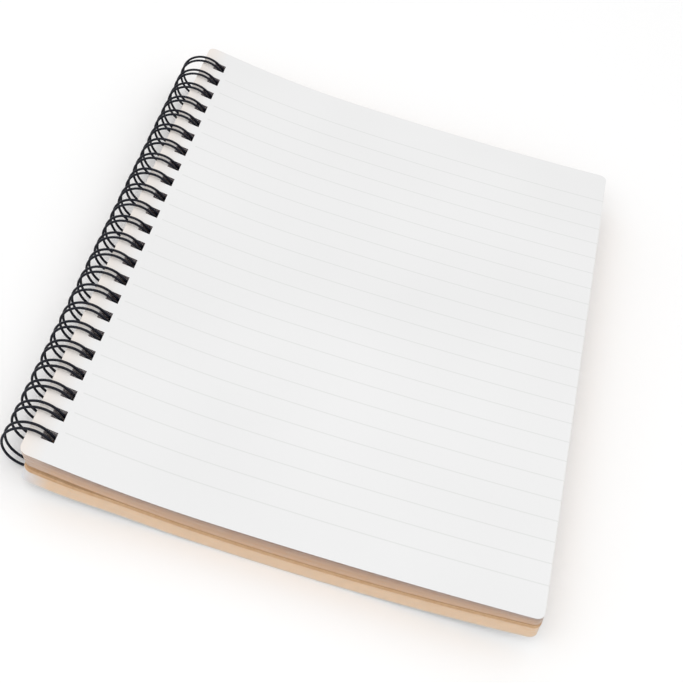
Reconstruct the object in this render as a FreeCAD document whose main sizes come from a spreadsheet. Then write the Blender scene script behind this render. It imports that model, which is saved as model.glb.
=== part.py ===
import FreeCAD, Part
import math
import os
import Sketcher

# Wire-bound notebook folded right back on itself.
# Its unturned pages lie on top, then the back cover, the front cover and the pages turned behind it.
# All of them hang by a row of square holes on one twin-loop wire along the left side.
# Sheets are drawn in the binding's own frame: its axis is Y through the origin, X runs across the
# page and Z away from the table. The finished pieces are then leaned together onto the table.

V = FreeCAD.Vector
ALONG = V(0, 1, 0)
VERTEX = {"start": 1, "end": 2}
doc = FreeCAD.newDocument("notebook")
sizes = doc.addObject("Spreadsheet::Sheet", "Sizes")

# Driving sizes in millimetres
DRIVING = [
    ("sheet_height", 205.0, "length of a sheet along the binding"),
    ("sheet_width", 151.5, "width of the top sheet from its bound edge to its fore edge"),
    ("corner_radius", 2.5, "rounding of the sheets' corners"),
    ("end_margin", 9.0, "least room between a sheet's end and the middle of its first hole"),
    ("hole_pitch", 8.4667, "three loops to the inch"),
    ("hole_length", 4.0, "size of a hole across the page"),
    ("hole_width", 4.0, "size of a hole along the binding"),
    ("hole_margin", 4.05, "paper left between the bound edge and a hole"),
    ("ring_radius", 8.0, "binding axis to the middle of the wire"),
    ("wire_diameter", 0.8, "thickness of the wire"),
    ("seam_spread", 1.9, "distance between a loop's two wires at its tip"),
    ("back_spread", 2.8, "distance between a loop's two wires behind the bound edge"),
    ("crotch_radius", 1.2, "bend between a loop and the bar to the next loop"),
    ("tip_gap", 0.35, "height of the loop's tip above the bars' level"),
    ("end_stub", 0.8, "straight end of the wire past its last bend"),
    ("wire_clearance", 0.3, "room between the wire and the unturned pages"),
    ("bar_clearance", 0.3, "room between a bar and the sheets above and below it"),
    ("hole_clearance", 0.4, "room between the wire and the far side of the lower sheets' holes"),
    ("page_over_axis", 7.0, "height of the open page above the binding axis"),
    ("flat_reach", 9.0, "distance from the axis over which the sheets lie straight"),
    ("join_reach", 34.0, "distance from the axis at which the covers meet the unturned pages"),
    ("bend_reach", 56.0, "distance from the axis to the change of bend"),
    ("rise_at_bend", 3.1, "rise of the sheets at the change of bend"),
    ("rise_at_fore", 18.85, "rise of the sheets at the fore edge"),
    ("block_at_spine", 4.1, "thickness of the unturned pages at the wire"),
    ("block_at_bend", 4.6, "their thickness at the change of bend"),
    ("block_at_fore", 2.8, "their thickness at the fore edge"),
    ("seat_gap", 0.3, "play between pieces that lie on each other"),
    ("card_thickness", 0.4, "thickness of a cover"),
    ("card_gap", 0.25, "play between the two covers"),
    ("turned_thickness", 4.5, "thickness of the pages turned behind"),
    ("fore_slant", 0.2, "lower sheets' reach past the top sheet for each unit of depth"),
]

# Sizes that follow from the driving ones: the sheets hang on the wire, so each level's bound edge
# lies where the wire needs its hole to be.
DERIVED = [
    ("hole_count", "floor((sheet_height - 2 * end_margin) / hole_pitch) + 1"),
    ("wire_radius", "wire_diameter / 2"),
    ("ring_outside", "ring_radius + wire_radius"),
    ("ring_inside", "ring_radius - wire_radius"),
    ("block_floor", "page_over_axis - block_at_spine"),
    ("top_left", "-sqrt((ring_inside - wire_clearance) ^ 2 - page_over_axis ^ 2)"),
    ("block_left", "sqrt(ring_outside ^ 2 - block_floor ^ 2) + hole_clearance - hole_length - hole_margin"),
    ("cover_left", "ring_outside + hole_clearance - hole_length - hole_margin"),
    ("fore_reach", "top_left + sheet_width"),
    ("bar_height", "block_floor - bar_clearance - wire_radius"),
    ("seam_depth", "wire_diameter + 2 * bar_clearance"),
    ("join_span", "join_reach - flat_reach"),
    ("bend_span", "bend_reach - flat_reach"),
    ("under_rise", "rise_at_bend + block_at_spine - block_at_bend"),
    ("under_radius", "(bend_span ^ 2 + under_rise ^ 2) / (2 * under_rise)"),
    ("under_level", "sqrt(under_radius ^ 2 - join_span ^ 2)"),
    ("join_rise", "under_radius - under_level"),
    ("join_climb", "join_rise + seam_depth - seat_gap"),
    ("sway_slope", "2 * join_climb / join_span - join_span / (2 * under_level)"),
    ("sway_climb", "sway_slope * join_span / 4"),
]


def fill_sizes():
    row = 1
    for alias, value, meaning in DRIVING:
        sizes.set("A%d" % row, meaning)
        sizes.set("B%d" % row, str(value))
        sizes.setAlias("B%d" % row, alias)
        row += 1
    for alias, formula in DERIVED:
        sizes.set("B%d" % row, "=" + formula)
        sizes.setAlias("B%d" % row, alias)
        row += 1
    doc.recompute()


def size(alias):
    return float(sizes.get(alias))


fill_sizes()


# A level is one face of a stack of sheets: the points from its bound edge to its fore edge between
# which it runs first straight and then in tangent arcs. Each place is a formula in named sizes.
def block_level(spine, bend, fore, left):
    height = "Sizes.page_over_axis"
    return [
        (left, "%s - %s" % (height, spine)),
        ("Sizes.flat_reach", "%s - %s" % (height, spine)),
        ("Sizes.bend_reach", "%s + Sizes.rise_at_bend - %s" % (height, bend)),
        fore_point(fore),
    ]


# The slanted fore edge lies square to the curled sheets
def fore_point(depth):
    reach = "Sizes.fore_reach + Sizes.fore_slant * (%s)" % depth
    return reach, "Sizes.page_over_axis + Sizes.rise_at_fore - (%s)" % depth


# Levels below the bars sway up from the seam until they lie along the unturned pages
def lower_level(drop):
    seam = "Sizes.block_floor - Sizes.seam_depth - (%s)" % drop
    along = "Sizes.block_floor - Sizes.seat_gap - (%s)" % drop
    return [
        ("Sizes.cover_left", seam),
        ("Sizes.flat_reach", seam),
        ("Sizes.flat_reach + Sizes.join_span / 2", "%s + Sizes.sway_climb" % seam),
        ("Sizes.join_reach", "%s + Sizes.join_rise" % along),
        ("Sizes.bend_reach", "%s + Sizes.under_rise" % along),
        fore_point("Sizes.block_at_fore + Sizes.seat_gap + %s" % drop),
    ]


def evaluate(formula):
    return float(sizes.evalExpression(formula.replace("Sizes.", "")))


# The arc that leaves one point along a direction and ends at another point
def tangent_arc(start, direction, end):
    chord = end.sub(start)
    normal = V(-direction.y, direction.x, 0)
    radius = chord.dot(chord) / (2 * chord.dot(normal))
    centre = start.add(normal * radius)
    middle = start.add(end) * 0.5
    out = middle.sub(centre)
    out.normalize()
    through = centre.add(out * abs(radius))
    arc = Part.Arc(start, through, end) if radius > 0 else Part.Arc(end, through, start)
    sideways = end.sub(centre) * (1 / radius)
    return arc, V(-sideways.y, sideways.x, 0)


# Which end of a curve lies at a point, and which end lies away from it
def end_at(sketch, curve, point):
    geometry = sketch.Geometry[curve]
    nearer = (geometry.StartPoint - point).Length < (geometry.EndPoint - point).Length
    return ("start", "end") if nearer else ("end", "start")


# Draws one face of a stack from bound edge to fore edge, every piece tangent to the one before
def draw_level(sketch, places):
    points = [V(evaluate(x), evaluate(z), 0) for x, z in places]
    last = sketch.addGeometry(Part.LineSegment(points[0], points[1]))
    last_end = VERTEX["end"]
    place_point(sketch, last, VERTEX["start"], places[0])
    place_point(sketch, last, last_end, places[1])
    bound = (last, VERTEX["start"], points[0])
    heading = V(1, 0, 0)
    for index in range(2, len(points)):
        arc, heading = tangent_arc(points[index - 1], heading, points[index])
        curve = sketch.addGeometry(arc)
        near, far = end_at(sketch, curve, points[index - 1])
        sketch.addConstraint(Sketcher.Constraint("Tangent", last, last_end, curve, VERTEX[near]))
        last = curve
        last_end = VERTEX[far]
        place_point(sketch, last, last_end, places[index])
    return bound, (last, last_end, points[-1])


def place_point(sketch, curve, end, place):
    for kind, formula in zip(("DistanceX", "DistanceY"), place):
        value = evaluate(formula)
        index = sketch.addConstraint(Sketcher.Constraint(kind, -1, 1, curve, end, value))
        sketch.setExpression("Constraints[%d]" % index, formula)


def join_ends(sketch, first, second):
    line = sketch.addGeometry(Part.LineSegment(first[2], second[2]))
    for end, (curve, curve_end, point) in (("start", first), ("end", second)):
        sketch.addConstraint(
            Sketcher.Constraint("Coincident", line, VERTEX[end], curve, curve_end)
        )


def draw_polygon(sketch, places):
    corners = [V(evaluate(x), evaluate(z), 0) for x, z in places]
    lines = []
    for index, corner in enumerate(corners):
        following = corners[(index + 1) % len(corners)]
        lines.append(sketch.addGeometry(Part.LineSegment(corner, following)))
    for index, line in enumerate(lines):
        following = lines[(index + 1) % len(lines)]
        sketch.addConstraint(
            Sketcher.Constraint("Coincident", line, VERTEX["end"], following, VERTEX["start"])
        )
        place_point(sketch, line, VERTEX["start"], places[index])


def section_sketch(body, name):
    sketch = body.newObject("Sketcher::SketchObject", name)
    plane = [feature for feature in body.Origin.OriginFeatures if feature.Role == "XZ_Plane"][0]
    sketch.AttachmentSupport = [(plane, "")]
    sketch.MapMode = "FlatFace"
    return sketch


def edges_at_corners(shape):
    half = size("sheet_height") / 2
    names = []
    for index, edge in enumerate(shape.Edges):
        ends = [vertex.Point for vertex in edge.Vertexes]
        if len(ends) < 2 or edge.Curve.TypeId != "Part::GeomLine":
            continue
        at_side = all(abs(abs(point.y) - half) < 1e-6 for point in ends)
        across = abs(ends[0].z - ends[1].z) > 1e-3
        if at_side and across:
            names.append("Edge%d" % (index + 1))
    return names


# One stack of sheets: its section padded along the binding, its corners rounded and its holes cut
def sheet_body(name, top, bottom):
    body = doc.addObject("PartDesign::Body", name)
    body.Label = name
    section = section_sketch(body, name + "_section")
    top_bound, top_fore = draw_level(section, top)
    bottom_bound, bottom_fore = draw_level(section, bottom)
    join_ends(section, top_bound, bottom_bound)
    join_ends(section, top_fore, bottom_fore)
    stack = body.newObject("PartDesign::Pad", name + "_stack")
    stack.Profile = section
    stack.SideType = "Symmetric"
    stack.setExpression("Length", "Sizes.sheet_height")
    doc.recompute()
    corners = body.newObject("PartDesign::Fillet", name + "_corners")
    corners.Base = (stack, edges_at_corners(stack.Shape))
    corners.setExpression("Radius", "Sizes.corner_radius")
    doc.recompute()
    cut_holes(body, name, top, bottom)
    return body


# The holes step sideways with the sheets, so a hole leans where its stack does
def cut_holes(body, name, top, bottom):
    opening = section_sketch(body, name + "_hole")
    opening.setExpression(
        ".AttachmentOffset.Base.z", "(Sizes.hole_count - 1) * Sizes.hole_pitch / 2"
    )
    x_top, z_top = top[0]
    x_bottom, z_bottom = bottom[0]
    over = "Sizes.wire_diameter"
    profile = [
        (x_top, "%s + %s" % (z_top, over)),
        (x_top, z_top),
        (x_bottom, z_bottom),
        (x_bottom, "%s - %s" % (z_bottom, over)),
    ]
    if x_top == x_bottom:
        profile = [profile[0], profile[-1]]
    near = "%s + Sizes.hole_margin"
    far = "%s + Sizes.hole_margin + Sizes.hole_length"
    places = [(near % x, z) for x, z in profile]
    places += [(far % x, z) for x, z in profile[::-1]]
    draw_polygon(opening, places)
    hole = body.newObject("PartDesign::Pocket", name + "_first_hole")
    hole.Profile = opening
    hole.SideType = "Symmetric"
    hole.setExpression("Length", "Sizes.hole_width")
    doc.recompute()
    row = body.newObject("PartDesign::LinearPattern", name + "_hole_row")
    row.Originals = [hole]
    row.Direction = (opening, ["N_Axis"])
    row.Reversed = True
    row.setExpression("Length", "(Sizes.hole_count - 1) * Sizes.hole_pitch")
    row.setExpression("Occurrences", "Sizes.hole_count")
    body.Tip = row
    doc.recompute()


# Places and directions on the ring, from its angle above the page side of the axis
def outward(angle):
    return V(math.cos(angle), 0, math.sin(angle))


def onward(angle):
    return V(math.sin(angle), 0, -math.cos(angle))


# Angle on the ring whose point, moved back along the ring by a reach, has the wanted height
def ring_angle(height, back):
    radius = size("ring_radius")
    return math.asin(height / math.hypot(radius, back)) - math.atan2(back, radius)


# The bend between a bar and a loop's wire that leaves it at a point: its far end and its middle
def bar_bend(point, heading, bar, radius):
    turn = bar.getAngle(heading)
    reach = radius * math.tan(turn / 2)
    corner = point - heading * reach
    inward = heading - bar
    inward.normalize()
    middle = corner + inward * (radius / math.cos(turn / 2) - radius)
    return corner - bar * reach, middle


# One of a loop's two wires: a ring arc, tilted a little so that the pair is narrow at the seam
class Leg:
    def __init__(self, base, tip, side, centre):
        mean = (size("seam_spread") + size("back_spread")) / 4
        lean = (size("back_spread") - size("seam_spread")) / 4
        radius = size("ring_radius")
        self.seam = (base + tip) / 2
        self.centre = V(0, centre + side * mean, 0)
        level_part = math.sqrt(radius ** 2 - lean ** 2)
        self.across = outward(self.seam) * level_part - ALONG * (side * lean)
        self.along = onward(self.seam) * radius

    def point(self, angle):
        turn = self.seam - angle
        return self.centre + self.across * math.cos(turn) + self.along * math.sin(turn)

    def heading(self, angle):
        turn = self.seam - angle
        direction = self.along * math.cos(turn) - self.across * math.sin(turn)
        direction.normalize()
        return direction


def half_ring(leg, angles):
    return Part.Arc(*[leg.point(angle) for angle in angles])


# Curves of one loop: bend, wire down to the tip, round the tip, wire back and bend
def loop_edges(centre):
    crotch = size("crotch_radius")
    base = ring_angle(size("bar_height"), crotch)
    tip = ring_angle(size("bar_height") + size("tip_gap"), -size("seam_spread") / 2)
    far_tip = tip - 2 * math.pi
    down = Leg(base, tip, -1, centre)
    back = Leg(base, tip, 1, centre)
    entry, entry_bend = bar_bend(down.point(base), down.heading(base), ALONG, crotch)
    leave, leave_bend = bar_bend(back.point(base), back.heading(base), -ALONG, crotch)
    heading = down.heading(far_tip)
    forward = V(heading.x, 0, heading.z)
    gather = math.atan2(heading.y, forward.Length)
    forward.normalize()
    half = (back.point(far_tip) - down.point(far_tip)).Length / 2
    radius = half / math.cos(gather)
    hub = down.point(far_tip) + (ALONG * math.cos(gather) - forward * math.sin(gather)) * radius
    quarters = [base + (far_tip - base) * step / 4 for step in range(5)]
    curves = [Part.Arc(entry, entry_bend, down.point(base))]
    curves += [half_ring(down, quarters[0:3]), half_ring(down, quarters[2:5])]
    curves.append(Part.Arc(down.point(far_tip), hub + forward * radius, back.point(far_tip)))
    curves += [half_ring(back, quarters[4:1:-1]), half_ring(back, quarters[2::-1])]
    curves.append(Part.Arc(back.point(base), leave_bend, leave))
    return curves, entry, leave


# The whole binding is one bent wire, from its lower cut end to its upper one
def twin_loop_wire():
    edges = []
    count = int(size("hole_count"))
    stub = ALONG * size("end_stub")
    last = None
    for index in range(count):
        centre = (index - (count - 1) / 2) * size("hole_pitch")
        curves, entry, leave = loop_edges(centre)
        start = entry - stub if last is None else last
        edges.append(Part.LineSegment(start, entry).toShape())
        edges += [curve.toShape() for curve in curves]
        if index == 0:
            first = start
        last = leave
    edges.append(Part.LineSegment(last, last + stub).toShape())
    path = Part.Wire(edges)
    profile = Part.Wire([Part.Circle(first, ALONG, size("wire_radius")).toShape()])
    solid = path.makePipeShell([profile], True, False)
    expected = path.Length * math.pi * size("wire_radius") ** 2
    print("wire length %.1f mm, volume %.1f, section by length %.1f" % (
        path.Length, solid.Volume, expected))
    wire = doc.addObject("Part::Feature", "twin_loop_wire")
    wire.Label = "twin_loop_wire"
    wire.Shape = solid
    return wire


# Unturned pages, from the open page down to the level above the wire's bars
open_page = block_level("0", "0", "0", "Sizes.top_left")
block_under = block_level(
    "Sizes.block_at_spine", "Sizes.block_at_bend", "Sizes.block_at_fore", "Sizes.block_left"
)
page_block = sheet_body("page_block", open_page, block_under)

# Covers and turned pages lie below the bars, each level one thickness or one play further down
to_front = "Sizes.card_thickness + Sizes.card_gap"
to_turned = "2 * Sizes.card_thickness + Sizes.card_gap"
to_table = "2 * Sizes.card_thickness + Sizes.card_gap + Sizes.turned_thickness"
back_cover = sheet_body("back_cover", lower_level("0"), lower_level("Sizes.card_thickness"))
front_cover = sheet_body("front_cover", lower_level(to_front), lower_level(to_turned))
turned_pages = sheet_body("turned_pages", lower_level(to_turned), lower_level(to_table))
wire = twin_loop_wire()
pieces = [wire, page_block, back_cover, front_cover, turned_pages]


# The lean at which the turned pages touch the table that the ring stands on
def resting_lean():
    outline = [edge for edge in turned_pages.Shape.Edges if edge.BoundBox.YLength < 1e-6]
    points = [point for edge in outline for point in edge.discretize(60)]
    low, high = 0.0, math.radians(45)
    for step in range(50):
        lean = (low + high) / 2
        lowest = min(p.z * math.cos(lean) - p.x * math.sin(lean) for p in points)
        if lowest > -size("ring_outside"):
            low = lean
        else:
            high = lean
    return lean


# Leans the whole notebook about the binding axis and centres its outline on the frame's origin
def set_down():
    lean = resting_lean()
    turn = FreeCAD.Rotation(ALONG, math.degrees(lean))
    for piece in pieces:
        piece.Placement = FreeCAD.Placement(V(0, 0, size("ring_outside")), turn)
    doc.recompute()
    box = FreeCAD.BoundBox()
    for piece in pieces:
        box.add(piece.Shape.optimalBoundingBox(False))
    axis_x = -(box.XMin + box.XMax) / 2
    for piece in pieces:
        piece.Placement = FreeCAD.Placement(V(axis_x, 0, size("ring_outside")), turn)
    doc.recompute()
    print("lean %.3f deg, binding axis at x %.3f z %.3f" % (
        math.degrees(lean), axis_x, size("ring_outside")))


set_down()

# Nothing is written unless every object is sound
for item in doc.Objects:
    if "Invalid" in item.State or "Error" in item.State:
        raise RuntimeError("%s is in state %s" % (item.Name, item.State))
os.makedirs("parts", exist_ok=True)
for piece in pieces:
    shape = piece.Shape
    if shape.isNull() or not shape.isValid() or len(shape.Solids) != 1:
        raise RuntimeError("%s is not one valid solid" % piece.Label)
    box = shape.optimalBoundingBox(False)
    print("%s volume %.1f faces %d x %.2f..%.2f y %.2f..%.2f z %.2f..%.2f" % (
        piece.Label, shape.Volume, len(shape.Faces),
        box.XMin, box.XMax, box.YMin, box.YMax, box.ZMin, box.ZMax))
    shape.exportStep("parts/%s.step" % piece.Label)
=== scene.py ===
# %% [markdown]
# # A ruled notebook on a twin-loop wire
# The object is a wire-bound notebook folded back on itself and laid on a white table. Its engineering
# model is already packed: the wire, the block of unturned pages, two covers and the pages turned
# behind. This lesson dresses that model. The frame is loaded first and never changed, so everything
# made here goes to the place that the model says.

# %% Load the frame
import math

import bpy
from mathutils import Matrix, Vector


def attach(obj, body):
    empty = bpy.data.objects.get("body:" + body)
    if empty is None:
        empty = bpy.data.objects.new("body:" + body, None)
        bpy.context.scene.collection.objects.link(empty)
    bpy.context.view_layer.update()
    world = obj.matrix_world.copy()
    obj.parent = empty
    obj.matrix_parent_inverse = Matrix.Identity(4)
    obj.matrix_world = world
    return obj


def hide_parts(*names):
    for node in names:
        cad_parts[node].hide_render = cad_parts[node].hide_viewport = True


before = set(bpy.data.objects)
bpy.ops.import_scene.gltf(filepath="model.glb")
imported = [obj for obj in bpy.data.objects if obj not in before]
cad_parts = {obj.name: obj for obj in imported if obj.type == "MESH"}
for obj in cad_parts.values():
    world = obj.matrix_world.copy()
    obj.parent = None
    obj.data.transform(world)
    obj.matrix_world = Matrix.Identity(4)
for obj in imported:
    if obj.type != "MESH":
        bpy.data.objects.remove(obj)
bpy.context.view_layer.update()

# %% [markdown]
# ## The sizes that the sheets share
# A notebook is simple to measure: one sheet, one hole, one loop and a pitch. The row of loops is made
# three to the inch. All sheets are drawn in the binding's own frame, in millimetres, with the wire's
# axis at the origin, and then leaned onto the table together. That keeps every number readable.

# %% Sizes in millimetres
SHEET_HEIGHT = 205.0
HOLE_COUNT = 23
HOLE_PITCH = 8.4667
HOLE_SIDE = 4.0
HOLE_MARGIN = 4.05
CORNER_RADIUS = 2.5
RING_RADIUS = 8.0
WIRE_RADIUS = 0.4
WIRE_CLEARANCE = 0.3
BAR_CLEARANCE = 0.3
HOLE_CLEARANCE = 0.4
RING_OUTSIDE = RING_RADIUS + WIRE_RADIUS
PAGE_OVER_AXIS = 7.0
FLAT_REACH = 9.0
JOIN_REACH = 34.0
BEND_REACH = 56.0
RISE_AT_BEND = 3.1
RISE_AT_FORE = 18.85
BLOCK_AT_SPINE = 4.1
BLOCK_AT_BEND = 4.6
BLOCK_AT_FORE = 2.8
TOP_LEFT = -math.sqrt((RING_RADIUS - WIRE_RADIUS - WIRE_CLEARANCE) ** 2 - PAGE_OVER_AXIS ** 2)
FORE_REACH = TOP_LEFT + 151.5
FORE_SLANT = 0.2
SEAM_DEPTH = 2 * (WIRE_RADIUS + BAR_CLEARANCE)
SEAT_GAP = 0.3
CARD_THICKNESS = 0.4
CARD_GAP = 0.25
TURNED_THICKNESS = 4.5
LEAN = math.radians(7.983)
AXIS_X = -71.843
to_table = Matrix.Translation(Vector((AXIS_X, 0, RING_OUTSIDE))) @ Matrix.Rotation(LEAN, 4, "Y")


def in_metres(x, y, z):
    return to_table @ Vector((x, y, z)) / 1000


print("wire axis in mm:", AXIS_X, RING_OUTSIDE, "lean in degrees:", round(math.degrees(LEAN), 2))

# %% [markdown]
# ## The curl of the sheets
# A page that hangs on a wire leaves it straight and then curls up towards its fore edge. The curl is
# a straight run followed by arcs, each tangent to the last, which is how a bent sheet looks from its
# end. A level is such a line. It is made of a few points, and a small function works out the height
# at any distance from the wire, so that a hundred sheets can share one description.

# %% A line of tangent arcs
def curl(points):
    pieces = []
    slope = Vector((1.0, 0.0))
    for (x0, z0), (x1, z1) in zip(points[1:], points[2:]):
        chord = Vector((x1 - x0, z1 - z0))
        normal = Vector((-slope.y, slope.x))
        radius = chord.dot(chord) / (2 * chord.dot(normal))
        centre = Vector((x0, z0)) + normal * radius
        pieces.append((x0, x1, centre, radius))
        side = (Vector((x1, z1)) - centre) / radius
        slope = Vector((-side.y, side.x))

    def height(x):
        if x <= points[1][0]:
            return points[1][1]
        for x0, x1, centre, radius in pieces:
            if x <= x1 or x1 == points[-1][0]:
                drop = math.sqrt(radius ** 2 - (x - centre.x) ** 2)
                return centre.y - math.copysign(drop, radius)

    return {"left": points[0][0], "right": points[-1][0], "height": height}


def fore_point(depth):
    return FORE_REACH + FORE_SLANT * depth, PAGE_OVER_AXIS + RISE_AT_FORE - depth


def block_level(spine, bend, fore, left):
    return curl([
        (left, PAGE_OVER_AXIS - spine),
        (FLAT_REACH, PAGE_OVER_AXIS - spine),
        (BEND_REACH, PAGE_OVER_AXIS + RISE_AT_BEND - bend),
        fore_point(fore),
    ])


open_page = block_level(0, 0, 0, TOP_LEFT)
block_floor = PAGE_OVER_AXIS - BLOCK_AT_SPINE
hole_reach = HOLE_MARGIN + HOLE_SIDE
block_left = math.sqrt(RING_OUTSIDE ** 2 - block_floor ** 2) + HOLE_CLEARANCE - hole_reach
block_under = block_level(BLOCK_AT_SPINE, BLOCK_AT_BEND, BLOCK_AT_FORE, block_left)
print("open page in mm at 9, 56 and 149:", [round(open_page["height"](x), 2) for x in (9, 56, 149)])

# %% [markdown]
# The covers and the turned pages lie below the wire's bars. Close to the wire they keep a gap for the
# bars, and then they sway up until they lie along the unturned pages.

# %% Levels below the bars
join_span = JOIN_REACH - FLAT_REACH
under_rise = RISE_AT_BEND + BLOCK_AT_SPINE - BLOCK_AT_BEND
bend_span = BEND_REACH - FLAT_REACH
under_radius = (bend_span ** 2 + under_rise ** 2) / (2 * under_rise)
under_level = math.sqrt(under_radius ** 2 - join_span ** 2)
join_rise = under_radius - under_level
sway_slope = 2 * (join_rise + SEAM_DEPTH - SEAT_GAP) / join_span - join_span / (2 * under_level)


def lower_level(drop):
    seam = block_floor - SEAM_DEPTH - drop
    along = block_floor - SEAT_GAP - drop
    return curl([
        (RING_OUTSIDE + HOLE_CLEARANCE - hole_reach, seam),
        (FLAT_REACH, seam),
        (FLAT_REACH + join_span / 2, seam + sway_slope * join_span / 4),
        (JOIN_REACH, along + join_rise),
        (BEND_REACH, along + under_rise),
        fore_point(BLOCK_AT_FORE + SEAT_GAP + drop),
    ])


turned_top = 2 * CARD_THICKNESS + CARD_GAP
back_cover_levels = lower_level(0), lower_level(CARD_THICKNESS)
front_cover_levels = lower_level(CARD_THICKNESS + CARD_GAP), lower_level(turned_top)
turned_levels = lower_level(turned_top), lower_level(turned_top + TURNED_THICKNESS)
print("lowest point of the turned pages in mm:", round(1000 * min(
    in_metres(x, 0, turned_levels[1]["height"](x)).z for x in range(1, 151)), 3))

# %% [markdown]
# ## One leaf with its holes
# Every sheet and both covers share one outline: a rectangle with rounded corners and 23 square holes
# along the left side. The leaf is built once as a thin closed shell. Each of its points carries two
# places, one on the upper and one on the lower face of the whole stack, and a number that says which
# side of the leaf it is on. A node tree can then lay any number of leaves between the two faces.

# %% The leaf's outline and faces
CURL_STEPS = 36
CORNER_STEPS = 6


def leaf_stations(level):
    left, right = level["left"], level["right"]
    fixed = [left, left + CORNER_RADIUS, left + HOLE_MARGIN, left + hole_reach]
    start, end = FLAT_REACH, right - CORNER_RADIUS
    bends = [start + (end - start) * step / CURL_STEPS for step in range(CURL_STEPS + 1)]
    return fixed + bends + [right]


half_height = SHEET_HEIGHT / 2
hole_edges = []
for hole in range(HOLE_COUNT):
    middle = (hole - (HOLE_COUNT - 1) / 2) * HOLE_PITCH
    hole_edges += [middle - HOLE_SIDE / 2, middle + HOLE_SIDE / 2]
print("holes:", HOLE_COUNT, "first and last edge in mm:", hole_edges[0], round(hole_edges[-1], 2))


def leaf_faces():
    """Faces of one side of a leaf as lists of (station, y, corner angle) keys."""
    last = CURL_STEPS + 5
    inner = half_height - CORNER_RADIUS
    rows = [-inner] + hole_edges + [inner]
    faces = []
    for end in (-1, 1):
        edge, near = end * half_height, end * inner
        strips = [(s, s + 1) for s in range(1, last - 1)]
        for a, b in strips:
            faces.append([(a, edge), (b, edge), (b, near), (a, near)])
        for station, hub in ((0, 1), (last, last - 1)):
            arc = [("corner", station, hub, end, step) for step in range(CORNER_STEPS + 1)]
            faces.append([(hub, near)] + arc)
    strip_left = [(1, y) for y in rows]
    faces.append([(0, -inner), (0, inner)] + strip_left[::-1])
    faces.append([(1, y) for y in rows] + [(2, y) for y in rows[::-1]])
    for low, high in zip(rows[0::2], rows[1::2]):
        faces.append([(2, low), (3, low), (3, high), (2, high)])
    faces.append([(3, y) for y in rows] + [(4, inner), (4, -inner)])
    for station in range(4, last):
        faces.append([(station, -inner), (station + 1, -inner), (station + 1, inner), (station, inner)])
    return faces


# %% [markdown]
# A corner key is turned into a place on a quarter circle; every other key is a crossing of a station
# and a row. The upper and lower sides use the same faces, and wherever a face's edge has no neighbour
# a wall joins the sides. Those walls are the cut edges of the paper, so they're marked for a finish
# of their own.

# %% Build the leaf's mesh
def key_place(key, stations):
    if key[0] != "corner":
        return stations[key[0]], key[1]
    _, station, hub, end, step = key
    angle = math.pi / 2 * step / CORNER_STEPS
    out_x = stations[station] - stations[hub]
    x = stations[hub] + out_x * math.sin(angle)
    return x, end * (half_height - CORNER_RADIUS + CORNER_RADIUS * math.cos(angle))


def same_corner(key):
    """The key of a plain crossing where a corner's arc begins or ends."""
    if key[0] != "corner" or 0 < key[4] < CORNER_STEPS:
        return key
    _, station, hub, end, step = key
    if step == 0:
        return hub, end * half_height
    return station, end * (half_height - CORNER_RADIUS)


def leaf_mesh(name, top, under):
    faces = [[same_corner(key) for key in face] for face in leaf_faces()]
    keys = sorted({key for face in faces for key in face}, key=str)
    places = [[], []]
    for level, out in ((top, places[0]), (under, places[1])):
        stations = leaf_stations(level)
        for key in keys:
            x, y = key_place(key, stations)
            out.append(in_metres(x, y, level["height"](x)))
    count = len(keys)
    number = {key: index for index, key in enumerate(keys)}
    oriented, walls, used = [], [], {}
    for face in faces:
        loop = [number[key] for key in face]
        spots = [places[0][i] for i in loop]
        area = sum(a.x * b.y - b.x * a.y for a, b in zip(spots, spots[1:] + spots[:1]))
        loop = loop if area > 0 else loop[::-1]
        oriented.append(loop)
        for a, b in zip(loop, loop[1:] + loop[:1]):
            used[(a, b)] = True
    for a, b in used:
        if (b, a) not in used:
            walls.append([b, a, a + count, b + count])
    lower = [[i + count for i in loop[::-1]] for loop in oriented]
    mesh = bpy.data.meshes.new(name)
    mesh.from_pydata(places[0] + places[1], [], oriented + lower + walls)
    stored = {"upper_place": places[0] * 2, "lower_place": places[1] * 2}
    for label, vectors in stored.items():
        layer = mesh.attributes.new(label, "FLOAT_VECTOR", "POINT")
        layer.data.foreach_set("vector", [c for v in vectors for c in v])
    side = mesh.attributes.new("leaf_side", "FLOAT", "POINT")
    side.data.foreach_set("value", [0.0] * count + [1.0] * count)
    cut = mesh.attributes.new("cut_edge", "BOOLEAN", "FACE")
    cut.data.foreach_set("value", [False] * (2 * len(oriented)) + [True] * len(walls))
    return mesh


block_leaf = leaf_mesh("block_leaf", open_page, block_under)
print("one leaf:", len(block_leaf.vertices), "points,", len(block_leaf.polygons), "faces")

# %% [markdown]
# ## Paper, card and nylon
# Each finish starts from what it's taken to be. The pages are uncoated woodfree paper, which scatters
# light softly, with pale grey ruling printed 8 mm apart. Their cut edges show the fine lines of the
# single leaves and look warm tan. The covers are brown pressed card with a fibrous grain. The wire is
# steel in black nylon, with the small even sheen that plastic gives.

# %% Colour and node helpers
def linear(hex_colour):
    channels = [int(hex_colour[i:i + 2], 16) / 255 for i in (1, 3, 5)]
    out = [c / 12.92 if c <= 0.04045 else ((c + 0.055) / 1.055) ** 2.4 for c in channels]
    return (*out, 1.0)


def add_node(tree, kind, links=None, **settings):
    """Adds a node, sets its properties or input values and links its inputs from other sockets."""
    node = tree.nodes.new(kind)
    for key, value in settings.items():
        if hasattr(node, key):
            setattr(node, key, value)
        else:
            node.inputs[key].default_value = value
    for key, socket in (links or {}).items():
        tree.links.new(socket, node.inputs[key])
    return node


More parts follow.
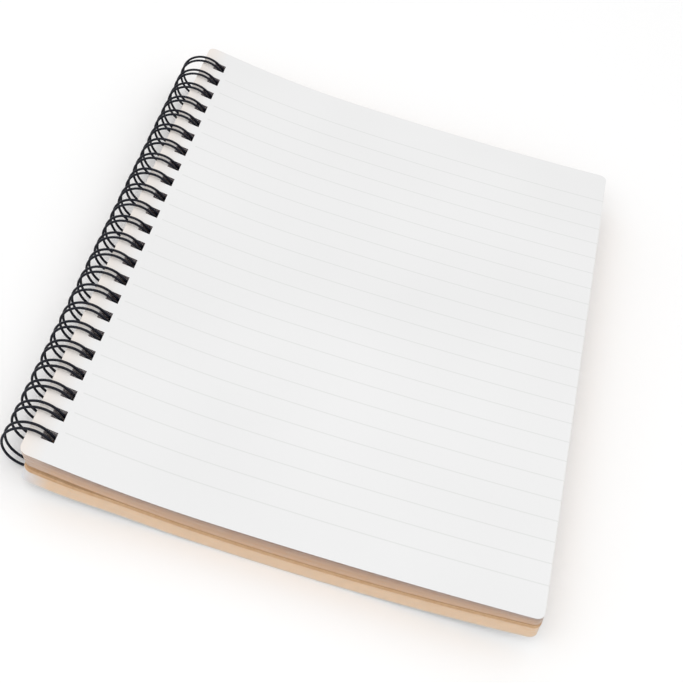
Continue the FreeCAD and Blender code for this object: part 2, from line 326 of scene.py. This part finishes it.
def new_finish(name, roughness, ior):
    material = bpy.data.materials.new(name)
    material.use_nodes = True
    tree = material.node_tree
    shader = tree.nodes["Principled BSDF"]
    shader.inputs["Roughness"].default_value = roughness
    shader.inputs["IOR"].default_value = ior
    return material, tree, shader


def ramp(tree, factor, stops):
    node = add_node(tree, "ShaderNodeValToRGB", {"Fac": factor})
    elements = node.color_ramp.elements
    while len(elements) < len(stops):
        elements.new(0.5)
    for element, (place, colour) in zip(elements, stops):
        element.position = place
        element.color = linear(colour)
    return node.outputs["Color"]


print("white paper in linear light:", [round(c, 3) for c in linear("#F2F2F2")[:3]])

# %% [markdown]
# The ruling is worked out from real distances on the page: the height along the binding is divided by
# the line spacing, and the distance to the nearest line is compared with half the line's width. The
# lines stop a little short of the holes. A soft noise at fibre size keeps the paper from looking like
# plastic, and a wide, faint one gives the slow change of tone of a real sheet.

# %% Ruled woodfree paper
LINE_SPACING = 8.074
LOWEST_LINE = -89.99
HIGHEST_LINE = LOWEST_LINE + 22 * LINE_SPACING
LINE_WIDTH = 0.5
RULING_START = AXIS_X + 8.6


def maths(tree, operation, first, second=None, clamp=False):
    node = tree.nodes.new("ShaderNodeMath")
    node.operation = operation
    node.use_clamp = clamp
    for socket, value in zip(node.inputs, (first, second)):
        if value is None:
            continue
        if isinstance(value, (int, float)):
            socket.default_value = value
        else:
            tree.links.new(value, socket)
    return node.outputs[0]


def ruled_paper():
    material, tree, shader = new_finish("uncoated woodfree paper, ruled", 0.72, 1.5)
    spot = add_node(tree, "ShaderNodeTexCoord").outputs["Object"]
    axes = add_node(tree, "ShaderNodeSeparateXYZ", {"Vector": spot})
    along = maths(tree, "MULTIPLY", axes.outputs["Y"], 1000.0)
    across = maths(tree, "MULTIPLY", axes.outputs["X"], 1000.0)
    offset = maths(tree, "SUBTRACT", along, LOWEST_LINE - LINE_SPACING / 2)
    turn = maths(tree, "DIVIDE", offset, LINE_SPACING)
    phase = maths(tree, "FRACT", turn)
    away = maths(tree, "MULTIPLY", maths(tree, "ABSOLUTE", maths(tree, "SUBTRACT", phase, 0.5)),
                 LINE_SPACING)
    soft = maths(tree, "SUBTRACT", 1.0, maths(tree, "DIVIDE", away, LINE_WIDTH / 2), clamp=True)
    line = maths(tree, "MULTIPLY", soft, 3.0, clamp=True)
    inside = maths(tree, "MULTIPLY",
                   maths(tree, "GREATER_THAN", along, LOWEST_LINE - 1),
                   maths(tree, "LESS_THAN", along, HIGHEST_LINE + 1))
    started = maths(tree, "GREATER_THAN", across, RULING_START)
    ruling = maths(tree, "MULTIPLY", maths(tree, "MULTIPLY", line, inside), started)
    tone = add_node(tree, "ShaderNodeTexNoise", {"Vector": spot}, Scale=14.0, Detail=2.0)
    paper = ramp(tree, tone.outputs["Fac"], [(0.3, "#E9E9E9"), (0.7, "#EDEDED")])
    margin = maths(tree, "SUBTRACT", 1.0, maths(
        tree, "DIVIDE", maths(tree, "SUBTRACT", across, AXIS_X - 2.0), 8.0), clamp=True)
    warm = add_node(tree, "ShaderNodeMix", {6: paper, 0: maths(tree, "MULTIPLY", margin, 0.8)},
                    data_type="RGBA")
    warm.inputs[7].default_value = linear("#EFE4DA")
    printed = add_node(tree, "ShaderNodeMix",
                       {6: warm.outputs[2], 0: maths(tree, "MULTIPLY", ruling, 0.4)},
                       data_type="RGBA")
    printed.inputs[7].default_value = linear("#CFD1CE")
    tree.links.new(printed.outputs[2], shader.inputs["Base Color"])
    fibre = add_node(tree, "ShaderNodeTexNoise", {"Vector": spot}, Scale=1600.0, Detail=3.0)
    bump = add_node(tree, "ShaderNodeBump", {"Height": fibre.outputs["Fac"]},
                    Strength=0.12, Distance=0.0001)
    tree.links.new(bump.outputs["Normal"], shader.inputs["Normal"])
    return material


page_paper = ruled_paper()
print("ruling from", LOWEST_LINE, "to", round(HIGHEST_LINE, 2), "mm")

# %% [markdown]
# The cut edge takes its tone from the leaf's number, which every sheet stores: the unturned pages are
# darkest under the open page and grow lighter downwards, which is painted shade under the open page,
# and the turned pages are paler. Near the wire the tan gives way to a grey, which is painted light on
# the leaves' ends there. These tones are matched to what is seen. The walls of the punched holes look
# nearly black, because little light gets down them. The even light of this lesson doesn't make them
# that dark by itself, so the finish is darkened there to stand for the shade.

# %% Guillotined page edges
HOLES_FROM = AXIS_X + 1.8
HOLES_TO = AXIS_X + 12.0
HOLES_END = 99.0


def cut_paper(name, stops, wire_end_light):
    material, tree, shader = new_finish(name, 0.9, 1.5)
    shader.inputs["Specular IOR Level"].default_value = 0.15
    depth = add_node(tree, "ShaderNodeAttribute", attribute_name="stack_depth")
    tone = ramp(tree, depth.outputs["Fac"], stops)
    spot = add_node(tree, "ShaderNodeTexCoord").outputs["Object"]
    axes = add_node(tree, "ShaderNodeSeparateXYZ", {"Vector": spot})
    across = maths(tree, "MULTIPLY", axes.outputs["X"], 1000.0)
    along = maths(tree, "MULTIPLY", axes.outputs["Y"], 1000.0)
    # Painted light: near the wire the edge is mixed towards a paler grey, as light falls on the leaves'
    # ends.
    left = maths(tree, "SUBTRACT", 1.0, maths(
        tree, "DIVIDE", maths(tree, "SUBTRACT", across, AXIS_X + 1.0), wire_end_light[1]), clamp=True)
    lit_near_wire = add_node(tree, "ShaderNodeMix", {6: tone, 0: left}, data_type="RGBA")
    lit_near_wire.inputs[7].default_value = linear(wire_end_light[0])
    grit = add_node(tree, "ShaderNodeTexNoise", {"Vector": spot}, Scale=700.0, Detail=4.0)
    speckle = ramp(tree, grit.outputs["Fac"], [(0.35, "#E8E8E8"), (0.65, "#FFFFFF")])
    rough_cut = add_node(tree, "ShaderNodeMix", {6: lit_near_wire.outputs[2], 7: speckle},
                         data_type="RGBA", blend_type="MULTIPLY")
    rough_cut.inputs[0].default_value = 0.5
    in_row = maths(tree, "MULTIPLY", maths(tree, "GREATER_THAN", across, HOLES_FROM),
                   maths(tree, "LESS_THAN", across, HOLES_TO))
    punched = maths(tree, "MULTIPLY", in_row, maths(
        tree, "LESS_THAN", maths(tree, "ABSOLUTE", along), HOLES_END))
    mixed = add_node(tree, "ShaderNodeMix",
                     {6: rough_cut.outputs[2], 0: maths(tree, "MULTIPLY", punched, 0.75)},
                     data_type="RGBA")
    mixed.inputs[7].default_value = linear("#2A2745")
    tree.links.new(mixed.outputs[2], shader.inputs["Base Color"])
    bump = add_node(tree, "ShaderNodeBump", {"Height": grit.outputs["Fac"]},
                    Strength=0.3, Distance=0.0001)
    tree.links.new(bump.outputs["Normal"], shader.inputs["Normal"])
    return material


# Painted shade: the unturned pages' edge darkens towards the open page, from the first stop on.
block_edge = cut_paper(
    "guillotined edge of the unturned pages",
    [(0.0, "#74492E"), (0.2, "#A07350"), (0.5, "#BE9064"), (1.0, "#CD9E70")], ("#B99F8C", 9.0))
turned_edge = cut_paper(
    "guillotined edge of the turned pages",
    [(0.0, "#DCB284"), (0.2, "#E9C093"), (0.8, "#EAC49A"), (1.0, "#E3C9AE")], ("#DDE1E8", 8.0))
print("edge finishes:", block_edge.name, "and", turned_edge.name)

# %% [markdown]
# Card is pressed from coarser fibres than paper, so it shows a stretched, uneven grain. Its pattern
# is a noise drawn out along the binding, the grain direction of a notebook's cover.

# %% Brown cover card
def cover_card():
    material, tree, shader = new_finish("brown pressed card", 0.82, 1.5)
    shader.inputs["Specular IOR Level"].default_value = 0.25
    spot = add_node(tree, "ShaderNodeTexCoord").outputs["Object"]
    drawn = add_node(tree, "ShaderNodeMapping", {"Vector": spot})
    drawn.inputs["Scale"].default_value = (1.0, 0.25, 1.0)
    grain = add_node(tree, "ShaderNodeTexNoise", {"Vector": drawn.outputs["Vector"]},
                     Scale=900.0, Detail=5.0)
    colour = ramp(tree, grain.outputs["Fac"], [(0.3, "#C79F79"), (0.5, "#D0AC87"), (0.75, "#D9B995")])
    tree.links.new(colour, shader.inputs["Base Color"])
    bump = add_node(tree, "ShaderNodeBump", {"Height": grain.outputs["Fac"]},
                    Strength=0.25, Distance=0.0001)
    tree.links.new(bump.outputs["Normal"], shader.inputs["Normal"])
    return material


brown_card = cover_card()
print("card finish:", brown_card.name)

# %% [markdown]
# ## Laying the leaves with Geometry Nodes
# A stack is one leaf repeated. The tree makes a line of points, one for each leaf, puts the leaf on
# each and numbers them. After the copies are made real, every point moves to its own mix of the upper
# and lower place, so the stack follows both faces exactly, thins towards the fore edge as the real
# one does, and slants at the wire. A little is trimmed at random from each leaf's reach, which gives
# the uneven edge of pages that have been turned.

# %% The stack's node tree
def read_value(tree, name, kind):
    node = add_node(tree, "GeometryNodeInputNamedAttribute", data_type=kind)
    node.inputs["Name"].default_value = name
    return node.outputs["Attribute"]


def stack_tree():
    tree = bpy.data.node_groups.new("stack of leaves", "GeometryNodeTree")
    interface = tree.interface
    interface.new_socket("Geometry", in_out="INPUT", socket_type="NodeSocketGeometry")
    interface.new_socket("Leaves", in_out="INPUT", socket_type="NodeSocketInt")
    interface.new_socket("Fill", in_out="INPUT", socket_type="NodeSocketFloat")
    interface.new_socket("Unevenness", in_out="INPUT", socket_type="NodeSocketFloat")
    interface.new_socket("Face finish", in_out="INPUT", socket_type="NodeSocketMaterial")
    interface.new_socket("Edge finish", in_out="INPUT", socket_type="NodeSocketMaterial")
    interface.new_socket("Geometry", in_out="OUTPUT", socket_type="NodeSocketGeometry")
    given = add_node(tree, "NodeGroupInput").outputs
    line = add_node(tree, "GeometryNodeMeshLine", {"Count": given["Leaves"]})
    line.inputs["Offset"].default_value = (0.0, 0.0, 0.0)
    laid = add_node(tree, "GeometryNodeInstanceOnPoints",
                    {"Points": line.outputs[0], "Instance": given["Geometry"]})
    index = add_node(tree, "GeometryNodeInputIndex").outputs[0]
    numbered = add_node(tree, "GeometryNodeStoreNamedAttribute",
                        {"Geometry": laid.outputs[0], "Value": index},
                        data_type="FLOAT", domain="INSTANCE")
    numbered.inputs["Name"].default_value = "leaf_number"
    real = add_node(tree, "GeometryNodeRealizeInstances", {"Geometry": numbered.outputs[0]})
    number = read_value(tree, "leaf_number", "FLOAT")
    side = read_value(tree, "leaf_side", "FLOAT")
    within = maths(tree, "ADD", number, maths(tree, "MULTIPLY", side, given["Fill"]))
    room = maths(tree, "SUBTRACT", maths(tree, "ADD", given["Leaves"], given["Fill"]), 1.0)
    depth = maths(tree, "DIVIDE", within, room)
    place = add_node(tree, "ShaderNodeMix", {
        "Factor": depth}, data_type="VECTOR")
    tree.links.new(read_value(tree, "upper_place", "FLOAT_VECTOR"), place.inputs[4])
    tree.links.new(read_value(tree, "lower_place", "FLOAT_VECTOR"), place.inputs[5])
    chance = add_node(tree, "FunctionNodeRandomValue", {"ID": number}, data_type="FLOAT_VECTOR")
    chance.inputs["Seed"].default_value = 7
    trim = add_node(tree, "ShaderNodeVectorMath", {0: chance.outputs[0]}, operation="SCALE")
    tree.links.new(given["Unevenness"], trim.inputs["Scale"])
    flat = add_node(tree, "ShaderNodeVectorMath", {0: trim.outputs[0]}, operation="MULTIPLY")
    flat.inputs[1].default_value = (1.0, 1.0, 0.0)
    pull = add_node(tree, "ShaderNodeVectorMath", {0: flat.outputs[0], 1: place.outputs[1]},
                    operation="MULTIPLY")
    trimmed = add_node(tree, "ShaderNodeVectorMath", {0: place.outputs[1], 1: pull.outputs[0]},
                       operation="SUBTRACT")
    moved = add_node(tree, "GeometryNodeSetPosition",
                     {"Geometry": real.outputs[0], "Position": trimmed.outputs[0]})
    shaded = add_node(tree, "GeometryNodeStoreNamedAttribute",
                      {"Geometry": moved.outputs[0], "Value": depth},
                      data_type="FLOAT", domain="POINT")
    shaded.inputs["Name"].default_value = "stack_depth"
    faced = add_node(tree, "GeometryNodeSetMaterial",
                     {"Geometry": shaded.outputs[0], "Material": given["Face finish"]})
    edged = add_node(tree, "GeometryNodeSetMaterial", {
        "Geometry": faced.outputs[0], "Material": given["Edge finish"],
        "Selection": read_value(tree, "cut_edge", "BOOLEAN")})
    add_node(tree, "NodeGroupOutput", {"Geometry": edged.outputs[0]})
    return tree


leaves_tree = stack_tree()
print("stack tree:", len(leaves_tree.nodes), "nodes")

# %% [markdown]
# The tree's result is turned into a plain mesh at once, and the modifier goes away with its helper
# object. Edges between the broad faces and the cut edges are kept sharp, while the curl stays smooth.

# %% Turn a tree's result into a piece
def set_inputs(modifier, tree, values):
    for item in tree.interface.items_tree:
        if item.item_type == "SOCKET" and item.in_out == "INPUT" and item.name in values:
            modifier[item.identifier] = values[item.name]


def bake_piece(name, mesh, tree, values):
    helper = bpy.data.objects.new(name + "_helper", mesh)
    bpy.context.scene.collection.objects.link(helper)
    modifier = helper.modifiers.new("nodes", "NODES")
    modifier.node_group = tree
    set_inputs(modifier, tree, values)
    depsgraph = bpy.context.evaluated_depsgraph_get()
    result = bpy.data.meshes.new_from_object(helper.evaluated_get(depsgraph))
    helper.modifiers.clear()
    bpy.data.objects.remove(helper)
    result.name = name
    piece = bpy.data.objects.new(name, result)
    bpy.context.scene.collection.objects.link(piece)
    triangles = sum(len(face.vertices) - 2 for face in result.polygons)
    low = [min(v.co[i] for v in result.vertices) for i in range(3)]
    high = [max(v.co[i] for v in result.vertices) for i in range(3)]
    print(name, triangles, "triangles, box in mm", [round(1000 * c, 2) for c in low + high])
    return piece


def lay_stack(name, levels, leaves, fill, unevenness, face_finish, edge_finish):
    piece = bake_piece(name, leaf_mesh(name + "_leaf", *levels), leaves_tree, {
        "Leaves": leaves, "Fill": fill, "Unevenness": unevenness,
        "Face finish": face_finish, "Edge finish": edge_finish})
    piece.data.shade_smooth()
    piece.data.set_sharp_from_angle(angle=math.radians(35))
    return piece


# %% [markdown]
# ## The pages and covers
# Notebook paper of 80 grams is 0.1 mm thick, so the unturned block holds about forty sheets and the
# turned pages about forty-five. A cover is a single thick leaf.

# %% Lay the two stacks and the two covers
unturned = lay_stack("unturned_sheets", (open_page, block_under), 41, 0.86, 0.0016,
                     page_paper, block_edge)
turned = lay_stack("turned_sheets", turned_levels, 45, 0.86, 0.0016, page_paper, turned_edge)
back_board = lay_stack("back_cover_card", back_cover_levels, 1, 1.0, 0.0, brown_card, brown_card)
front_board = lay_stack("front_cover_card", front_cover_levels, 1, 1.0, 0.0, brown_card, brown_card)

# %% [markdown]
# ## The twin-loop wire
# One wire makes the whole binding. It is bent into a comb of hairpin loops joined by short bars, and
# the machine then closes the comb into a row of rings. Each ring is a pair of wires that come together
# in a rounded tip, next to the bars. One pitch of that line is worked out here from the same sizes as
# the model; the nodes repeat it along the binding, join it up and give it its thickness.

# %% One loop's centre line
CROTCH_RADIUS = 1.2
BAR_HEIGHT = block_floor - BAR_CLEARANCE - WIRE_RADIUS
TIP_GAP = 0.35
SEAM_SPREAD = 1.9
BACK_SPREAD = 2.8
RING_STEPS = 60
BEND_STEPS = 6
TIP_STEPS = 10


def ring_angle(height, back):
    return math.asin(height / math.hypot(RING_RADIUS, back)) - math.atan2(back, RING_RADIUS)


def arc_points(start, along, end, steps):
    """Points of the arc that leaves start in a direction and ends at end."""
    chord = end - start
    normal = chord - along * chord.dot(along)
    if normal.length < 1e-9:
        return [start.lerp(end, i / steps) for i in range(1, steps + 1)]
    normal.normalize()
    radius = chord.dot(chord) / (2 * chord.dot(normal))
    turn = 2 * math.atan2(chord.dot(normal), chord.dot(along))
    centre = start + normal * radius
    return [centre - normal * radius * math.cos(turn * i / steps)
            + along * radius * math.sin(turn * i / steps) for i in range(1, steps + 1)]


def loop_line():
    base = ring_angle(BAR_HEIGHT, CROTCH_RADIUS)
    tip = ring_angle(BAR_HEIGHT + TIP_GAP, -SEAM_SPREAD / 2)
    seam = (base + tip) / 2
    mean = (SEAM_SPREAD + BACK_SPREAD) / 4
    lean = (BACK_SPREAD - SEAM_SPREAD) / 4
    u = Vector((math.cos(seam), 0, math.sin(seam)))
    w = Vector((math.sin(seam), 0, -math.cos(seam)))
    across = u * math.sqrt(RING_RADIUS ** 2 - lean ** 2) + Vector((0, lean, 0))
    centre = Vector((0, -mean, 0))

    def leg(angle):
        turn = seam - angle
        return centre + across * math.cos(turn) + w * RING_RADIUS * math.sin(turn)

    def heading(angle):
        turn = seam - angle
        return (w * RING_RADIUS * math.cos(turn) - across * math.sin(turn)).normalized()

    far_tip = tip - 2 * math.pi
    start_heading = heading(base)
    bend = Vector((0, 1, 0)).angle(start_heading)
    reach = CROTCH_RADIUS * math.tan(bend / 2)
    entry = leg(base) - start_heading * reach - Vector((0, reach, 0))
    half = [Vector((entry.x, -HOLE_PITCH / 2, entry.z)), entry]
    half += arc_points(entry, Vector((0, 1, 0)), leg(base), BEND_STEPS)
    half += [leg(base + (far_tip - base) * i / RING_STEPS) for i in range(1, RING_STEPS + 1)]
    end = leg(far_tip)
    tip_heading = heading(far_tip)
    mirror_end = Vector((end.x, -end.y, end.z))
    tip_line = arc_points(end, tip_heading, mirror_end, TIP_STEPS)[:-1]
    other = [Vector((p.x, -p.y, p.z)) for p in reversed(half)]
    return half + tip_line + other


loop_points = loop_line()
print("loop line:", len(loop_points), "points, length in mm",
      round(sum((b - a).length for a, b in zip(loop_points, loop_points[1:])), 1))

# %% [markdown]
# Black nylon over steel looks the same from every side: dark, smooth and slightly soft in its shine.
# A faint noise in the roughness stands for the marks that the bending tool leaves.

# %% Black nylon-coated wire
def coated_wire():
    material, tree, shader = new_finish("black nylon-coated steel wire", 0.34, 1.52)
    spot = add_node(tree, "ShaderNodeTexCoord").outputs["Object"]
    marks = add_node(tree, "ShaderNodeTexNoise", {"Vector": spot}, Scale=900.0, Detail=3.0)
    tone = ramp(tree, marks.outputs["Fac"], [(0.3, "#070A16"), (0.7, "#0D1120")])
    tree.links.new(tone, shader.inputs["Base Color"])
    shader.inputs["Specular IOR Level"].default_value = 0.22
    dulled = add_node(tree, "ShaderNodeMapRange", {"Value": marks.outputs["Fac"]})
    dulled.inputs["To Min"].default_value = 0.36
    dulled.inputs["To Max"].default_value = 0.5
    tree.links.new(dulled.outputs[0], shader.inputs["Roughness"])
    return material


black_wire = coated_wire()
print("wire finish:", black_wire.name)

# %% [markdown]
# The tree repeats the loop's line at every pitch, makes the copies real, welds their ends into one
# line, turns it into a curve and sweeps a small circle along it. Caps close the two cut ends.

# %% The wire's node tree
WIRE_SIDES = 14


def wire_tree():
    tree = bpy.data.node_groups.new("repeated wire loops", "GeometryNodeTree")
    interface = tree.interface
    interface.new_socket("Geometry", in_out="INPUT", socket_type="NodeSocketGeometry")
    interface.new_socket("Loops", in_out="INPUT", socket_type="NodeSocketInt")
    interface.new_socket("Pitch", in_out="INPUT", socket_type="NodeSocketFloat")
    interface.new_socket("Wire radius", in_out="INPUT", socket_type="NodeSocketFloat")
    interface.new_socket("Finish", in_out="INPUT", socket_type="NodeSocketMaterial")
    interface.new_socket("Geometry", in_out="OUTPUT", socket_type="NodeSocketGeometry")
    given = add_node(tree, "NodeGroupInput").outputs
    gap = add_node(tree, "ShaderNodeCombineXYZ", {"Y": given["Pitch"]})
    gaps = maths(tree, "SUBTRACT", given["Loops"], 1.0)
    back = maths(tree, "MULTIPLY", maths(tree, "MULTIPLY", gaps, given["Pitch"]), -0.5)
    start = add_node(tree, "ShaderNodeCombineXYZ", {"Y": back})
    line = add_node(tree, "GeometryNodeMeshLine", {
        "Count": given["Loops"], "Offset": gap.outputs[0], "Start Location": start.outputs[0]})
    rings = add_node(tree, "GeometryNodeInstanceOnPoints",
                     {"Points": line.outputs[0], "Instance": given["Geometry"]})
    real = add_node(tree, "GeometryNodeRealizeInstances", {"Geometry": rings.outputs[0]})
    welded = add_node(tree, "GeometryNodeMergeByDistance", {"Geometry": real.outputs[0]},
                      Distance=0.00001)
    curve = add_node(tree, "GeometryNodeMeshToCurve", {"Mesh": welded.outputs[0]})
    circle = add_node(tree, "GeometryNodeCurvePrimitiveCircle", {"Radius": given["Wire radius"]},
                      Resolution=WIRE_SIDES)
    tube = add_node(tree, "GeometryNodeCurveToMesh", {
        "Curve": curve.outputs[0], "Profile Curve": circle.outputs[0]})
    tube.inputs["Fill Caps"].default_value = True
    finished = add_node(tree, "GeometryNodeSetMaterial",
                        {"Geometry": tube.outputs[0], "Material": given["Finish"]})
    add_node(tree, "NodeGroupOutput", {"Geometry": finished.outputs[0]})
    return tree


rings_tree = wire_tree()
print("wire tree:", len(rings_tree.nodes), "nodes")

# %% [markdown]
# The line is laid in the leaned frame. The lean turns about the binding's own direction, so the copies
# still step straight along it.

# %% Make the wire
loop_mesh = bpy.data.meshes.new("loop_line")
loop_mesh.from_pydata([in_metres(*p) for p in loop_points],
                      [(i, i + 1) for i in range(len(loop_points) - 1)], [])
binding = bake_piece("black_twin_loops", loop_mesh, rings_tree, {
    "Loops": HOLE_COUNT, "Pitch": HOLE_PITCH / 1000, "Wire radius": WIRE_RADIUS / 1000,
    "Finish": black_wire})
binding.data.shade_smooth()
binding.data.set_sharp_from_angle(angle=math.radians(50))

# %% [markdown]
# ## Which body each piece rides on
# The wire and the unturned pages stay put. The back cover swings about the wire by itself, and the
# turned pages swing with the front cover.

# %% Hand the pieces to the frame
for piece, node, body, finish in (
    (binding, "twin_loop_wire", "notebook", "wire"),
    (unturned, "page_block", "notebook", "page_paper"),
    (back_board, "back_cover", "back_cover", "cover_card"),
    (front_board, "front_cover", "turned_part", "cover_card"),
    (turned, "turned_pages", "turned_part", "page_paper"),
):
    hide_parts(node)
    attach(piece, body)

# %% [markdown]
# ## The table and the light
# The notebook lies on a plain white table under even studio light, and the table keeps the shadow.
# The world is white. It lights a little below full strength, and only rays that come straight from
# the camera find it at full strength, so that the background past the table is white. It fills shadows
# from all round, and one soft lamp high in front of the left side adds a little light to the page
# and to the cut edges that face the camera.

# %% White table
def white_table():
    material, tree, shader = new_finish("white laminate", 0.6, 1.5)
    shader.inputs["Base Color"].default_value = linear("#FFFFFF")
    return material


bpy.ops.mesh.primitive_plane_add(size=6.0, location=(0, 0, -0.0002))
table = bpy.context.object
table.name = "white_table"
table.data.materials.append(white_table())

world = bpy.data.worlds.new("studio")
bpy.context.scene.world = world
world.use_nodes = True
sky = world.node_tree.nodes["Background"]
sky.inputs["Color"].default_value = linear("#FFFFFF")
WORLD_LIGHT = 0.93
seen = add_node(world.node_tree, "ShaderNodeLightPath").outputs["Is Camera Ray"]
lift = maths(world.node_tree, "MULTIPLY", seen, 1.0 - WORLD_LIGHT)
world.node_tree.links.new(maths(world.node_tree, "ADD", lift, WORLD_LIGHT), sky.inputs["Strength"])
print("world strength:", WORLD_LIGHT, "for light and 1.0 for the camera")


# %% Soft lamp
def soft_lamp(name, place, target, power, side):
    data = bpy.data.lights.new(name, "AREA")
    data.shape = "SQUARE"
    data.size = side
    data.energy = power
    lamp = bpy.data.objects.new(name, data)
    bpy.context.scene.collection.objects.link(lamp)
    lamp.location = place
    lamp.rotation_euler = (Vector(target) - Vector(place)).to_track_quat("-Z", "Y").to_euler()
    return lamp


soft_lamp("key", (-0.35, -0.55, 0.8), (0, 0, 0), 1.7, 0.7)
bpy.context.scene.view_settings.view_transform = "Standard"

# %% [markdown]
# ## The camera
# The photographer stood at the lower end of the notebook and looked down on it with a short telephoto
# lens, held turned a little, so that the binding runs up the left side of the picture.

# %% Camera at the photograph's viewpoint
camera_data = bpy.data.cameras.new("camera")
camera_data.lens = 85.09
camera_data.sensor_width = 36.0
camera = bpy.data.objects.new("camera", camera_data)
bpy.context.scene.collection.objects.link(camera)
look_right = Vector((0.9542573, 0.2011824, 0.2211757))
look_up = Vector((-0.2987237, 0.6725591, 0.6770735))
look_back = Vector((-0.0125384, -0.7121727, 0.7018923))
turned_axes = Matrix((look_right, look_up, look_back)).transposed()
camera.matrix_world = Matrix.Translation((-0.0026063, -0.3798722, 0.3668368)) @ turned_axes.to_4x4()
bpy.context.scene.camera = camera
print("camera at mm:", [round(1000 * c, 1) for c in camera.location])
